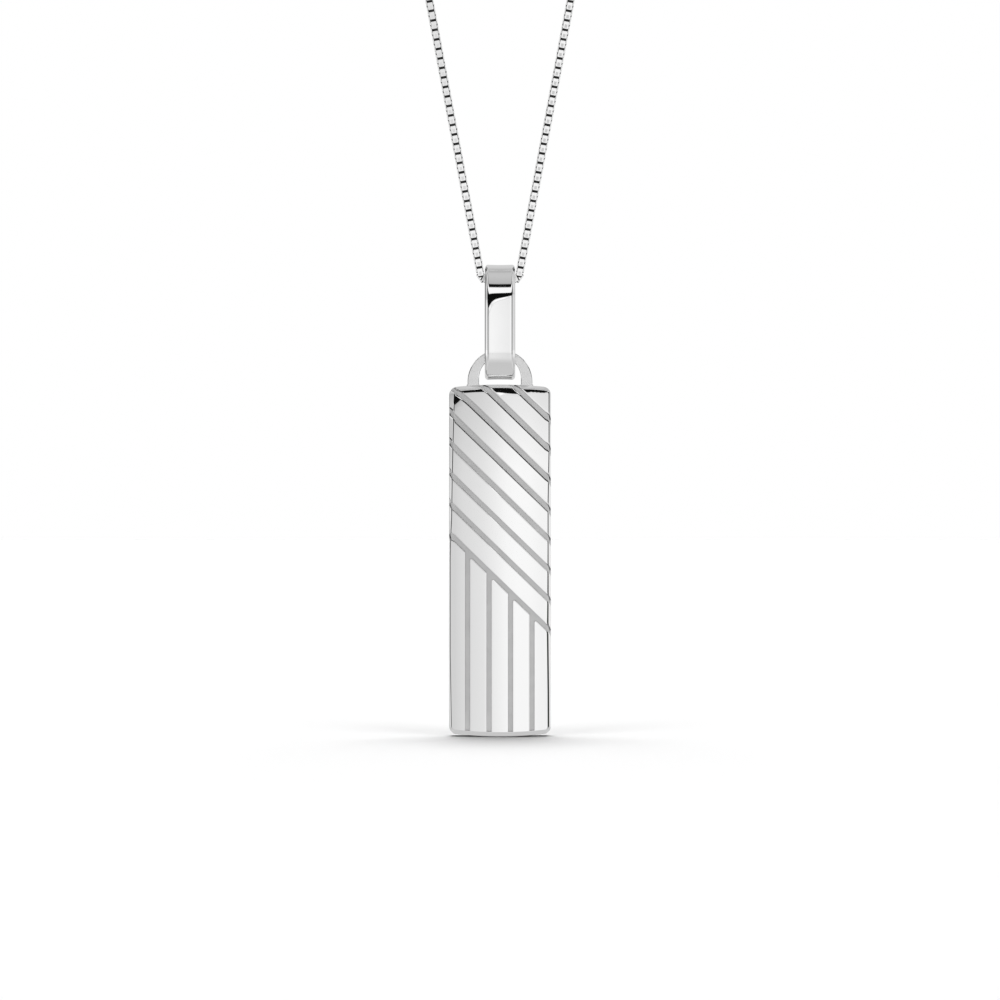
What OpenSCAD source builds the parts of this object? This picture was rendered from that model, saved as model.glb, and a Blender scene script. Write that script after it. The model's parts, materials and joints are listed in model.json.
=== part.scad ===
// Grooved silver bar pendant on a bail and a box chain, hanging as it is worn.
// Millimetres. +Z is up and the front faces -Y. The origin is the underside of the clasp,
// at the top of the loop, where the necklace lies over whatever holds it up.

/* [Bar] */
// Width of the bar
bar_w = 10.2; // [9.8:0.1:11]
// Length of the bar along its middle
bar_l = 35.2; // [34:0.1:38]
// Depth of the bar at its middle
bar_d = 2.4; // [2.2:0.1:3]
// How far the front crowns forward between the bar's long edges
front_crown = 1.0; // [0.8:0.1:1.2]
// How far the flat back lies behind the plane of the chain
bar_back = 1.05; // [0.9:0.05:1.2]
// How far each end of the bar bows out in the middle
end_bow = 0.25; // [0.15:0.05:0.4]
// Bevel along the front edges and at the corners of the bar
bar_bevel = 0.35; // [0.3:0.05:0.45]

/* [Grooves] */
// Width of each groove
groove_w = 0.5; // [0.4:0.05:0.6]
// Depth of each groove below the crowned front
groove_d = 0.3; // [0.2:0.05:0.35]
// Depth of the notch that a slanted groove cuts in the bar's long sides
notch_d = 0.15; // [0.1:0.05:0.25]
// Number of slanted grooves
slant_count = 8; // [5:1:8]
// Angle of the slanted grooves from level
slant_angle = 44; // [40:1:48]
// Step down the bar from one slanted groove to the next
slant_step = 3.0; // [2.8:0.05:3.1]
// Where the lowest slanted groove crosses the middle of the bar, below its top
slant_last = 19.8; // [18:0.1:21]
// Number of upright grooves below the slanted ones
upright_count = 4; // [3:1:4]
// Step across the bar from one upright groove to the next
upright_step = 2.15; // [2:0.05:2.2]
// Place of the first upright groove, from the middle of the bar
upright_first = -3.25; // [-3.5:0.05:-3.1]

/* [Eye] */
// Outer radius of the half ring soldered on the bar
eye_r = 3.25; // [3.15:0.05:3.4]
// Height of the half ring's centre above the bar's top
eye_rise = 0.3; // [0.2:0.05:0.4]
// Radius of the eye's hole
eye_hole_r = 2.1; // [2.05:0.05:2.15]
// Height of the hole's centre above the bar's top
eye_hole_rise = 0.68; // [0.66:0.01:0.72]
// Thickness of the half ring from front to back
eye_t = 0.9; // [0.8:0.05:1]

/* [Bail] */
// Width of the bail's strip
bail_w = 3.04; // [2.9:0.02:3.04]
// Height of the bail
bail_h = 11.55; // [11.5:0.05:11.6]
// Thickness of the strip at the top and sides
bail_wall = 1.2; // [1.1:0.05:1.25]
// Thickness of the strip at the bottom, where the eye rides
bail_floor = 1.55; // [1.5:0.05:1.6]
// Outer radius over the top of the bail
crown_r = 2.2; // [2.1:0.05:2.3]
// Outer radius of the shoulders, between the top and the flat front and back
shoulder_r = 7; // [6.5:0.5:8]
// Angle above level at which the top's curve meets the shoulders
shoulder_angle = 30; // [25:1:32]
// Flare of the strip's inner edges beside the chain
chain_flare = 0.45; // [0.45:0.05:0.5]
// Flare of the strip's inner edges beside the eye
eye_flare = 0.25; // [0.2:0.05:0.35]
// Gap between the bottom of the bail and the bar's top
bail_bar_gap = 0.5; // [0.45:0.05:0.6]

/* [Chain] */
// Length of the closed loop along its middle line, with the clasp
loop_length = 450; // [400:10:500]
// Diameter of the chain
chain_d = 0.8; // [0.7:0.05:0.8]
// Gap between the chain and the top of the bail's inside
chain_gap = 0.05; // [0.05:0.01:0.1]
// Lean of the two hanging strands from upright
strand_lean = 10.6; // [10:0.1:11.5]
// Half length of the level stretch inside the bail
level_half = 1.4; // [1.4:0.05:1.5]
// Radius of the bend where a strand turns up beside the bail
bend_r = 0.5; // [0.5:0.05:0.6]
// Number of sides of the chain's plain tube
tube_sides = 8; // [8:1:12]
// Number of steps round each small bend
bend_steps = 5; // [4:1:6]
// Number of steps along each hanging strand
strand_steps = 12; // [8:1:14]
// Number of steps round each side of the top of the loop
top_steps = 16; // [12:1:18]

/* [Clasp] */
// Diameter of the barrel clasp
clasp_d = 3; // [2.4:0.1:3.4]
// Length of the barrel clasp
clasp_l = 8; // [7:0.5:10]
// Length of the taper at each end of the barrel
clasp_taper = 1.4; // [1:0.1:2]
// Diameter of each end face of the barrel
clasp_end_d = 1.8; // [1.6:0.1:2]
// Radius of the hole for the chain in each end
clasp_hole_r = 0.5; // [0.45:0.05:0.6]
// Depth of the hole for the chain in each end
clasp_hole_d = 1.2; // [1:0.1:1.6]
// Length of the chain inside each hole
clasp_grip = 1.0; // [0.8:0.1:1.4]

/* [Hidden] */

// Smoothness of true curves, and of the very large ones
$fn = 96;
fine_fn = 720;
// How far a cutting shape stands past what it cuts
over = 1;

// The loop is a level stretch in the bail, a small bend, a straight strand, a wide arc and half of
// a straight stretch through the clasp, then the same mirrored. The arc's radius closes it.
top_half = clasp_l / 2 + over;
bend_length = bend_r * (90 - strand_lean) * PI / 180;
turn = 90 + strand_lean;
known_length = loop_length / 2 - level_half - bend_length - top_half;
top_r = (level_half + bend_r * cos(strand_lean) + known_length * sin(strand_lean) - top_half)
    / (cos(strand_lean) + turn * PI / 180 * sin(strand_lean));
strand_length = known_length - top_r * turn * PI / 180;
strand_start = [level_half + bend_r * cos(strand_lean), bend_r * (1 - sin(strand_lean))];
strand_end = strand_start + strand_length * [sin(strand_lean), cos(strand_lean)];
loop_h = strand_end[1] + top_r * (1 + sin(strand_lean));

// Heights, from the clasp down
clasp_z = clasp_d / 2;
chain_z = clasp_z - loop_h;
bail_top = chain_z + chain_d / 2 + chain_gap + bail_wall;
bar_top = bail_top - bail_h - bail_bar_gap;

// The bail's side view, measured down from its top
bail_half = crown_r * cos(shoulder_angle) + shoulder_r * (1 - cos(shoulder_angle));
shoulder_z = -crown_r - (shoulder_r - crown_r) * sin(shoulder_angle);

// The bar's front is part of an upright round wall, and its ends are parts of two large discs
front_y = bar_back - bar_d;
front_edge_y = front_y + front_crown;
front_r = (pow(bar_w / 2, 2) + pow(front_crown, 2)) / (2 * front_crown);
end_r = (pow(bar_w / 2, 2) + pow(end_bow, 2)) / (2 * end_bow);

// A flat shape in Y and Z, given depth along X about the middle
module along_x(depth) {
    rotate([90, 0, 90])
        linear_extrude(depth, center = true)
            children();
}

// A flat shape in X and Z, given depth along Y about the middle
module along_y(depth) {
    rotate([90, 0, 0])
        linear_extrude(depth, center = true)
            children();
}

// Plan of the bar with its front edges bevelled, open past the front
module bar_plan() {
    reach = bar_bevel + 2 * over;
    polygon([
        [-bar_w / 2, bar_back],
        [-bar_w / 2, front_edge_y + bar_bevel],
        [-bar_w / 2 + reach, front_edge_y + bar_bevel - reach],
        [bar_w / 2 - reach, front_edge_y + bar_bevel - reach],
        [bar_w / 2, front_edge_y + bar_bevel],
        [bar_w / 2, bar_back]
    ]);
}

// Side view of the bar with the front edges of its ends bevelled, open past every face
module bar_side() {
    polygon([
        [bar_back + over, over],
        [front_y + bar_bevel + over, over],
        [front_y - over, -bar_bevel - over],
        [front_y - over, -bar_l + bar_bevel + over],
        [front_y + bar_bevel + over, -bar_l - over],
        [bar_back + over, -bar_l - over]
    ]);
}

// Front view of the bar with its corners bevelled, open past the ends
module bar_elevation() {
    corner = end_bow + bar_bevel;
    polygon([
        [-bar_w / 2, -corner],
        [-bar_w / 2 + corner + over, over],
        [bar_w / 2 - corner - over, over],
        [bar_w / 2, -corner],
        [bar_w / 2, -bar_l + corner],
        [bar_w / 2 - corner - over, -bar_l - over],
        [-bar_w / 2 + corner + over, -bar_l - over],
        [-bar_w / 2, -bar_l + corner]
    ]);
}

// An upright round wall whose surface lies a given depth behind the crowned front
module front_wall(depth) {
    translate([0, front_y + front_r, -bar_l - over])
        cylinder(r = front_r - depth, h = bar_l + 2 * over, $fn = fine_fn);
}

// A disc across the bar whose rim bows one of its ends
module end_disc(centre_z) {
    translate([0, 0, centre_z])
        along_y(2 * bar_d + 2 * over)
            circle(r = end_r, $fn = fine_fn);
}

// The bar before its grooves are cut
module bar_blank() {
    intersection() {
        front_wall(0);
        translate([0, 0, -bar_l - over]) linear_extrude(bar_l + 2 * over) bar_plan();
        along_x(bar_w + 2 * over) bar_side();
        along_y(2 * bar_d + 2 * over) bar_elevation();
        end_disc(-end_r);
        end_disc(end_r - bar_l);
    }
}

// Slots in the shape of all grooves, from in front of the bar to past its front edges
module groove_slots() {
    slot_y = front_y - over;
    slot_d = front_crown + bar_bevel + over;
    slant_l = 2 * bar_w;
    translate([0, slot_y, 0]) {
        for (i = [0 : slant_count - 1])
            translate([0, 0, -slant_last + i * slant_step])
                rotate([0, slant_angle, 0])
                    translate([-slant_l / 2, 0, -groove_w / 2])
                        cube([slant_l, slot_d, groove_w]);
        for (i = [0 : upright_count - 1]) {
            groove_x = upright_first + i * upright_step;
            groove_top = -slant_last - groove_x * tan(slant_angle);
            translate([groove_x - groove_w / 2, 0, -bar_l - over])
                cube([groove_w, slot_d, groove_top + bar_l + over]);
        }
    }
}

// The metal left under the grooves
module groove_floor() {
    intersection() {
        front_wall(groove_d);
        translate([0, 0, -bar_l / 2]) cube([bar_w - 2 * notch_d, 4 * bar_d, bar_l + 2 * over], center = true);
    }
}

// The half ring that the bail passes through, its feet sunk in the bar
module eye() {
    along_y(eye_t)
        difference() {
            union() {
                translate([0, eye_rise]) circle(r = eye_r);
                translate([-eye_r, -bar_d / 2]) square([2 * eye_r, eye_rise + bar_d / 2]);
            }
            translate([0, eye_hole_rise]) circle(r = eye_hole_r);
            translate([-eye_hole_r, -bar_d]) square([2 * eye_hole_r, eye_hole_rise + bar_d]);
            translate([0, -bar_d / 2 - eye_r]) square(2 * eye_r, center = true);
        }
}

module bar() {
    color("gainsboro")
        translate([0, 0, bar_top])
            union() {
                difference() {
                    bar_blank();
                    difference() {
                        groove_slots();
                        groove_floor();
                    }
                }
                eye();
            }
}

// Side view of the bail, taken in by an inset all round, with its bottom raised by a floor
module bail_side(inset, floor_t) {
    crown = crown_r - inset;
    shoulder = shoulder_r - inset;
    half = bail_half - inset;
    shoulder_top = -crown_r + crown * sin(shoulder_angle);
    bottom_z = -bail_h + floor_t + half;
    translate([0, -crown_r]) circle(r = crown);
    intersection() {
        translate([half - shoulder, shoulder_z]) circle(r = shoulder, $fn = fine_fn);
        translate([shoulder - half, shoulder_z]) circle(r = shoulder, $fn = fine_fn);
        translate([-half, shoulder_z]) square([2 * half, shoulder_top - shoulder_z]);
    }
    translate([-half, bottom_z]) square([2 * half, shoulder_z - bottom_z]);
    translate([0, bottom_z]) circle(r = half);
}

// A cone that opens out at both edges of the strip, to ease an inner edge of a given radius
module flare(centre_z, inner_r, width) {
    for (side = [-1, 1])
        translate([side * (bail_w / 2 - width), 0, centre_z])
            rotate([0, side * 90, 0])
                cylinder(r1 = inner_r, r2 = inner_r + width + over, h = width + over);
}

module bail() {
    color("gainsboro")
        translate([0, 0, bail_top])
            difference() {
                along_x(bail_w) bail_side(0, 0);
                along_x(bail_w + 2 * over) bail_side(bail_wall, bail_floor);
                flare(-crown_r, crown_r - bail_wall, chain_flare);
                flare(-bail_h + bail_floor + bail_half - bail_wall, bail_half - bail_wall, eye_flare);
            }
}

// The right half of the loop as [x, z, direction] from the bail to the clasp, with the direction
// an angle from +X. The left half mirrors it.
function half_route() = concat(
    [[0, 0, 0]],
    [for (i = [0 : bend_steps])
        let (a = (90 - strand_lean) * i / bend_steps)
        [level_half + bend_r * sin(a), bend_r * (1 - cos(a)), a]],
    [for (i = [1 : strand_steps])
        let (p = strand_start + (strand_end - strand_start) * i / strand_steps)
        [p[0], p[1], 90 - strand_lean]],
    [for (i = [1 : top_steps])
        let (a = 90 - strand_lean + turn * i / top_steps)
        [top_half + top_r * sin(a), loop_h - top_r * (1 + cos(a)), a]],
    [[clasp_l / 2 - clasp_grip, loop_h, 180]]
);

// A closed tube along a route in the XZ plane, with flat ends square to it
module tube(route) {
    rings = len(route);
    points = [for (stop = route) for (k = [0 : tube_sides - 1])
        let (a = 360 * (k + 0.5) / tube_sides, out = chain_d / 2 * cos(a))
        [stop[0] - out * sin(stop[2]), chain_d / 2 * sin(a), stop[1] + out * cos(stop[2])]];
    sides = [for (i = [0 : rings - 2]) for (k = [0 : tube_sides - 1])
        let (next = (k + 1) % tube_sides)
        [i * tube_sides + k, (i + 1) * tube_sides + k, (i + 1) * tube_sides + next, i * tube_sides + next]];
    first_end = [[for (k = [0 : tube_sides - 1]) k]];
    last_end = [[for (k = [tube_sides - 1 : -1 : 0]) (rings - 1) * tube_sides + k]];
    polyhedron(points, concat(sides, first_end, last_end));
}

module chain_right() {
    color("silver")
        translate([0, 0, chain_z])
            tube(half_route());
}

module chain_left() {
    color("silver")
        translate([0, 0, chain_z])
            mirror([1, 0, 0])
                tube(half_route());
}

// A barrel along X with tapered ends, each with a hole for an end of the chain
module clasp() {
    body_half = clasp_l / 2 - clasp_taper;
    color("silver")
        translate([0, 0, clasp_z])
            difference() {
                rotate([0, 90, 0])
                    rotate_extrude()
                        polygon([
                            [0, -clasp_l / 2],
                            [clasp_end_d / 2, -clasp_l / 2],
                            [clasp_d / 2, -body_half],
                            [clasp_d / 2, body_half],
                            [clasp_end_d / 2, clasp_l / 2],
                            [0, clasp_l / 2]
                        ]);
                for (side = [-1, 1])
                    translate([side * (clasp_l / 2 - clasp_hole_d), 0, 0])
                        rotate([0, side * 90, 0])
                            cylinder(r = clasp_hole_r, h = clasp_hole_d + over);
            }
}

bar();
bail();
chain_left();
chain_right();
clasp();
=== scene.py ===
"""Finished surfaces, studio and camera for a grooved silver bar pendant on a bail and a fine box chain.

The pieces are built in millimetres and written to Blender in metres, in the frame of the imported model:
+Z is up, the front faces -Y and the origin is the underside of the clasp.
"""
import json
import math

import bpy
import numpy as np
from mathutils.geometry import delaunay_2d_cdt
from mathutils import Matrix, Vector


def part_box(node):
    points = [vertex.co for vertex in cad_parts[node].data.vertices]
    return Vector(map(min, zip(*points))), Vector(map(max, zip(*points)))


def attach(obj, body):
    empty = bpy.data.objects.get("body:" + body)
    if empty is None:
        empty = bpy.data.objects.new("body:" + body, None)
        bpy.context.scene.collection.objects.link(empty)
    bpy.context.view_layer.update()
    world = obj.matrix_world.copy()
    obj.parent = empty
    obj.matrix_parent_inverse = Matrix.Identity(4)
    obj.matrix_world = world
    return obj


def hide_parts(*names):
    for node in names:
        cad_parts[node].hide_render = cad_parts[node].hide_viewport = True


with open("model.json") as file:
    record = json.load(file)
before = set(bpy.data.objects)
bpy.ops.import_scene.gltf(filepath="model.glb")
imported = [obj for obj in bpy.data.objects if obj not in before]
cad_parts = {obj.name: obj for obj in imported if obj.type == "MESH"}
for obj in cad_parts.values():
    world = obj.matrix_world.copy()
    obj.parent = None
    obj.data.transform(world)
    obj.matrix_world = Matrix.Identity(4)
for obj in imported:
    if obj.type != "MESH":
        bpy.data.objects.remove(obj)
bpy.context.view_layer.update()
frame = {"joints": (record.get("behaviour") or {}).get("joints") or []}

MM = 0.001
joint_z = {joint["name"]: joint["pos_m"][2] / MM for joint in frame["joints"]}

# Bar, in millimetres. Its ribs and edges are measured from the middle of its top.
BAR_LOW, BAR_HIGH = (np.array(corner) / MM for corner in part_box("bar"))
EYE_R = 3.25
EYE_RISE = 0.3
EYE_HOLE_R = 2.1
EYE_HOLE_RISE = 0.68
EYE_T = 0.9
BAR_TOP = BAR_HIGH[2] - EYE_R - EYE_RISE
BAR_W = BAR_HIGH[0] - BAR_LOW[0]
BAR_L = BAR_TOP - BAR_LOW[2]
FRONT_Y = BAR_LOW[1]
BACK_Y = BAR_HIGH[1]
FRONT_CROWN = 1.0
FRONT_R = ((BAR_W / 2) ** 2 + FRONT_CROWN ** 2) / (2 * FRONT_CROWN)
END_BOW = 0.25
END_R = ((BAR_W / 2) ** 2 + END_BOW ** 2) / (2 * END_BOW)

# Grooves
GROOVE_W = 0.5
GROOVE_D = 0.3
NOTCH_D = 0.14
SLANT_COUNT = 8
SLANT = math.radians(44)
SLANT_STEP = 3.015
SLANT_LAST = 19.78
UPRIGHT_COUNT = 4
UPRIGHT_STEP = 2.15
UPRIGHT_FIRST = -3.25
GROOVE_END = 0.42
# Widths of the gentle curve along a rib, of the sharp edge past it and of the wall below
RIB_ROLL = 0.125
RIB_SHARP = 0.012
RIB_EDGE = RIB_ROLL + RIB_SHARP
WALL_RUN = 0.02
# How far the matt floors of the grooves follow the front's lean in X, Y and Z, face straight ahead, and lean
# away from the wall on their upper side
FLOOR_FOLLOW = (0.4, 1, 0)
FLOOR_FACING = 1.2
FLOOR_LEAN = 0.3
SLANT_TILTS = (math.radians(4), math.radians(18.2))
UPRIGHT_TILT = math.radians(5)

# Bail
BAIL_LOW, BAIL_HIGH = (np.array(corner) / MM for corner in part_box("bail"))
BAIL_TOP = BAIL_HIGH[2]
BAIL_H = BAIL_HIGH[2] - BAIL_LOW[2]
BAIL_W = BAIL_HIGH[0] - BAIL_LOW[0]
BAIL_HALF = BAIL_HIGH[1]
BAIL_WALL = 1.2
BAIL_FLOOR = 1.55
CROWN_R = 2.2
SHOULDER_R = 7.0
SHOULDER_ANGLE = math.radians(30)
SHOULDER_Z = -CROWN_R - (SHOULDER_R - CROWN_R) * math.sin(SHOULDER_ANGLE)

# Chain and clasp
CHAIN_Z = joint_z["bail_swing"]
# A little shorter than the solid tubes' loop, because the links bend more softly beside the bail
LOOP_LENGTH = 449.7
LEAN = math.radians(10.6)
LEVEL_HALF = 0.943
BEND_R = 1.05
CLASP_LOW, CLASP_HIGH = (np.array(corner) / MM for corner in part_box("clasp"))
CLASP_L = CLASP_HIGH[0] - CLASP_LOW[0]
CLASP_D = CLASP_HIGH[2] - CLASP_LOW[2]
CLASP_Z = CLASP_D / 2
CLASP_TAPER = 1.4
CLASP_END_D = 1.8
CLASP_HOLE_R = 0.5
CLASP_HOLE_D = 1.2
CLASP_GRIP = 1.0
LINK_OUTER = 0.8
LINK_WIRE = 0.11
LINK_PITCH = 0.484
LINK_GAP = 0.01
LINK_DROOP = 0.07
LINK_BAND = LINK_OUTER - 2 * LINK_WIRE - LINK_GAP
LINK_LENGTH = LINK_PITCH + 2 * LINK_WIRE + LINK_GAP


def unit(vectors):
    """Vectors scaled to length 1, with zero vectors left as they are."""
    length = np.linalg.norm(vectors, axis=-1, keepdims=True)
    return vectors / np.where(length > 1e-12, length, 1)


def smooth_step(x, start, end):
    """0 before start, 1 after end, and a smooth ramp between."""
    t = np.clip((np.asarray(x, float) - start) / (end - start), 0, 1)
    return t * t * (3 - 2 * t)


def make_piece(name, points, faces, corner_normals, materials, face_materials=None):
    """A mesh object from points in millimetres, with a given normal at every face corner."""
    mesh = bpy.data.meshes.new(name)
    mesh.from_pydata((np.asarray(points) * MM).tolist(), [], [list(map(int, face)) for face in faces])
    for material in materials:
        mesh.materials.append(material)
    if face_materials is not None:
        mesh.polygons.foreach_set("material_index", np.asarray(face_materials, np.int32))
    mesh.polygons.foreach_set("use_smooth", np.ones(len(faces), bool))
    mesh.normals_split_custom_set(np.asarray(corner_normals, float).tolist())
    mesh.update()
    piece = bpy.data.objects.new(name, mesh)
    bpy.context.scene.collection.objects.link(piece)
    return piece


def grid_faces(rows, cols, close_rows, close_cols):
    """Quads over a grid of points numbered row by row."""
    faces = []
    for row in range(rows if close_rows else rows - 1):
        for col in range(cols if close_cols else cols - 1):
            after_row = (row + 1) % rows
            after_col = (col + 1) % cols
            faces.append((row * cols + col, row * cols + after_col,
                          after_row * cols + after_col, after_row * cols + col))
    return faces


def rounded_section(corners):
    """Points and outward normals round a convex polygon, from corners [x, h, radius, steps] taken
    counter-clockwise. Each corner becomes an arc, and the stretches between stay flat."""
    points = []
    normals = []
    for i, (x, h, radius, steps) in enumerate(corners):
        here = np.array([x, h], float)
        into = unit(here - np.array(corners[i - 1][:2], float))
        out = unit(np.array(corners[(i + 1) % len(corners)][:2], float) - here)
        first = math.atan2(-into[0], into[1])
        bend = math.atan2(into[0] * out[1] - into[1] * out[0], into @ out)
        reach = radius * math.tan(bend / 2)
        centre = here - into * reach + radius * np.array([-into[1], into[0]])
        for k in range(steps + 1):
            angle = first + bend * k / steps
            normal = np.array([math.cos(angle), math.sin(angle)])
            points.append(centre + radius * normal)
            normals.append(normal)
    return np.array(points), np.array(normals)


# Silver materials

def new_material(name):
    """An empty node material with a Principled shader, its tree and that shader."""
    material = bpy.data.materials.new(name)
    material.use_nodes = True
    tree = material.node_tree
    shader = tree.nodes["Principled BSDF"]
    return material, tree, shader


def add_noise(tree, scale, detail=3.0, stretch=(1, 1, 1)):
    """A noise texture in object space, with scale in features per metre along each stretched axis."""
    place = tree.nodes.new("ShaderNodeTexCoord")
    mapping = tree.nodes.new("ShaderNodeMapping")
    mapping.inputs["Scale"].default_value = stretch
    noise = tree.nodes.new("ShaderNodeTexNoise")
    noise.inputs["Scale"].default_value = scale
    noise.inputs["Detail"].default_value = detail
    tree.links.new(place.outputs["Object"], mapping.inputs["Vector"])
    tree.links.new(mapping.outputs["Vector"], noise.inputs["Vector"])
    return noise.outputs["Fac"]


def add_range(tree, value, low, high, start=0.3, end=0.7):
    """Maps a noise value to a range of numbers."""
    node = tree.nodes.new("ShaderNodeMapRange")
    node.inputs["From Min"].default_value = start
    node.inputs["From Max"].default_value = end
    node.inputs["To Min"].default_value = low
    node.inputs["To Max"].default_value = high
    tree.links.new(value, node.inputs["Value"])
    return node.outputs["Result"]


def add_bump(tree, shader, height, distance, strength):
    """Bumps a shader's surface by a height, over a distance in metres."""
    bump = tree.nodes.new("ShaderNodeBump")
    bump.inputs["Strength"].default_value = strength
    bump.inputs["Distance"].default_value = distance
    tree.links.new(height, bump.inputs["Height"])
    tree.links.new(bump.outputs["Normal"], shader.inputs["Normal"])


def silver(name, tone, rough_low, rough_high, wear_scale, bump=None):
    """Silver whose roughness wanders a little, as polished metal's does."""
    material, tree, shader = new_material(name)
    shader.inputs["Metallic"].default_value = 1.0
    shader.inputs["Base Color"].default_value = (tone, tone, tone, 1)
    wear = add_noise(tree, wear_scale)
    tree.links.new(add_range(tree, wear, rough_low, rough_high), shader.inputs["Roughness"])
    if bump:
        scale, distance, strength, stretch = bump
        add_bump(tree, shader, add_noise(tree, scale, 2.0, stretch), distance, strength)
    return material


polished = silver("silver_polished", 0.97, 0.03, 0.07, 900)
satin = silver("silver_satin", 0.86, 0.24, 0.28, 1200)
blasted = silver("silver_blasted", 0.65, 0.28, 0.34, 900, (9000, 0.000006, 0.12, (1, 1, 1)))
brushed = silver("silver_brushed", 0.9, 0.2, 0.3, 900, (9000, 0.000004, 0.15, (1, 1, 0.04)))
link_silver = silver("silver_links", 0.96, 0.08, 0.16, 1200)
# Near-black silver as painted shade, for the chain's faces in the gaps between links
link_painted_shade = silver("silver_painted_shade", 0.06, 0.3, 0.4, 1200)
clasp_silver = silver("silver_clasp", 0.96, 0.05, 0.1, 700)


# Bar. A chart lays its front flat: inside the inner outline a chart point is the place itself, seen from
# the front, and past it the distance from that outline runs round the rolled edge and on to the side.

EDGE_IN = 0.6
INNER_CORNER_R = 0.12
SIDE_FACET = math.radians(55)
TOP_FACET = math.radians(50)
BOTTOM_FACET = math.radians(42)
ROLL_STOPS = (0.2, 0.4, 0.7, 0.8)
ROLL_END = 0.9
LAST_SHARE = (0.4, 0.3)
# Along the left and right sides, from the bottom up: height, how far in the roll starts, first radius
LEFT_EDGE = (
    (-34.0, 0.28, 0.3), (-31.0, 0.24, 0.3), (-27.0, 0.17, 0.3), (-17.5, 0.17, 0.3), (-15.5, 0.21, 0.33),
    (-13.5, 0.32, 0.35), (-9.5, 0.38, 0.35), (-5.5, 0.47, 0.35), (-2.5, 0.56, 0.35))
RIGHT_EDGE = (
    (-34.0, 0.38, 0.62), (-31.0, 0.39, 0.62), (-25.0, 0.46, 0.62), (-21.0, 0.4, 0.5), (-16.0, 0.36, 0.35),
    (-12.0, 0.36, 0.35), (-6.5, 0.26, 0.35))
# Along the top, from the left: place and how far in the roll starts
TOP_EDGE = ((-2.2, 0.48), (-1.6, 0.35), (1.0, 0.35), (1.6, 0.42))
BOTTOM_RUN = 0.48
CORNER_FALL = 0.3
CORNER_START = 1.4
CORNER_GROOVE = 5


def inner_outline(p):
    """Nearest point inside the inner outline, outward direction and distance past it, for chart points."""
    core_x = BAR_W / 2 - EDGE_IN - INNER_CORNER_R
    core = np.stack([
        np.clip(p[:, 0], -core_x, core_x),
        np.clip(p[:, 1], -BAR_L + EDGE_IN + INNER_CORNER_R, -EDGE_IN - INNER_CORNER_R),
    ], 1)
    away = p - core
    distance = np.linalg.norm(away, axis=1)
    past = np.maximum(distance - INNER_CORNER_R, 0)
    outward = unit(away)
    near = np.where((past > 0)[:, None], core + outward * INNER_CORNER_R, p)
    return near, outward, past


def top_fall(x):
    """How far below the top edge the front starts to fall back, and how far it then leans: the polish
    reached furthest at the middle and least at the right."""
    at_right = smooth_step(x, 2.2, 3.2)
    length = 0.2 - 0.08 * at_right + 0.34 * np.exp(-((x - 1.5) / 1.6) ** 2) * (1 - at_right)
    return length, math.sin(math.radians(11)) * (1 - 0.35 * at_right)


def front_height(near):
    """Depth of the crowned front at places on it, with its slopes across and up."""
    x, z = near[:, 0], near[:, 1]
    root = np.sqrt(FRONT_R ** 2 - x ** 2)
    length, lean = top_fall(x)
    above = np.maximum(length + EDGE_IN + z, 0)
    top_slope = lean * above / length
    across = x * math.sin(SLANT) + (z + SLANT_LAST - CORNER_GROOVE * SLANT_STEP) * math.cos(SLANT)
    fall = CORNER_FALL * smooth_step(-across, -0.1, 0.1)
    diagonal = np.maximum((z - x) / math.sqrt(2) - CORNER_START, 0)
    corner_slope = fall * diagonal / math.sqrt(2)
    depth = FRONT_Y + FRONT_R - root + top_slope * above / 2 + fall * diagonal ** 2 / 2
    return depth, x / root - corner_slope, top_slope + corner_slope


def along_edge(place, stops, column):
    """A size that varies along an edge, from its stops."""
    return np.interp(place, [stop[0] for stop in stops], [stop[column] for stop in stops])


def edge_sizes(near, outward):
    """How far in from the silhouette the edge starts to roll, the radii of its first and last curves and
    the angle of its flat: wide beside the slanted ribs on the left, and narrower elsewhere, as polishing
    left it."""
    left = near[:, 0] < 0
    top = near[:, 1] > -BAR_L / 2
    side_run, side_r = [
        np.where(left, along_edge(near[:, 1], LEFT_EDGE, k), along_edge(near[:, 1], RIGHT_EDGE, k))
        for k in (1, 2)]
    end_run = np.where(top, along_edge(near[:, 0], TOP_EDGE, 1), BOTTOM_RUN)
    end_r = np.where(top, 0.35, 0.1)
    end_facet = np.where(top, TOP_FACET, BOTTOM_FACET)
    across = outward[:, 0] ** 2
    run = end_run + (side_run - end_run) * across
    last_r = run * (0.2 + (np.where(left, *LAST_SHARE) - 0.2) * across)
    return run, end_r + (side_r - end_r) * across, last_r, end_facet + (SIDE_FACET - end_facet) * across


def roll(past, lean, run, small_r, last_r, facet_angle):
    """How far out and back the rolled edge lies, from a surface that already leans back by an angle: a
    first curve, a flat and a last small curve."""
    flat = run - small_r * (np.sin(facet_angle) - np.sin(lean)) - last_r * (1 - np.sin(facet_angle))
    a, b, c, d = ROLL_STOPS
    u = [np.clip((past - start) / (end - start), 0, 1)
         for start, end in ((0, a), (a, b), (b, c), (c, d), (d, ROLL_END))]
    first = lean + (facet_angle - lean) * u[1]
    second = facet_angle + (math.pi / 2 - facet_angle) * u[3]
    out = (EDGE_IN - run) * u[0] + small_r * (np.sin(first) - np.sin(lean))
    out = out + flat * u[2] + last_r * (np.sin(second) - np.sin(facet_angle))
    back = (EDGE_IN - run) * u[0] * np.tan(lean) + small_r * (np.cos(lean) - np.cos(first))
    back = back + flat * np.tan(facet_angle) * u[2] + last_r * (np.cos(facet_angle) - np.cos(second))
    back = back + (ROLL_END - d) * u[4]
    return out, back


def bowed(x, z):
    """Height moved so that both ends of the bar bow out in the middle."""
    bow = END_R - np.sqrt(END_R ** 2 - x ** 2)
    top = smooth_step(z, -2.5, -0.6)
    bottom = smooth_step(-z, BAR_L - 2.5, BAR_L - 0.6)
    return z - bow * top + bow * bottom


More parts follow.
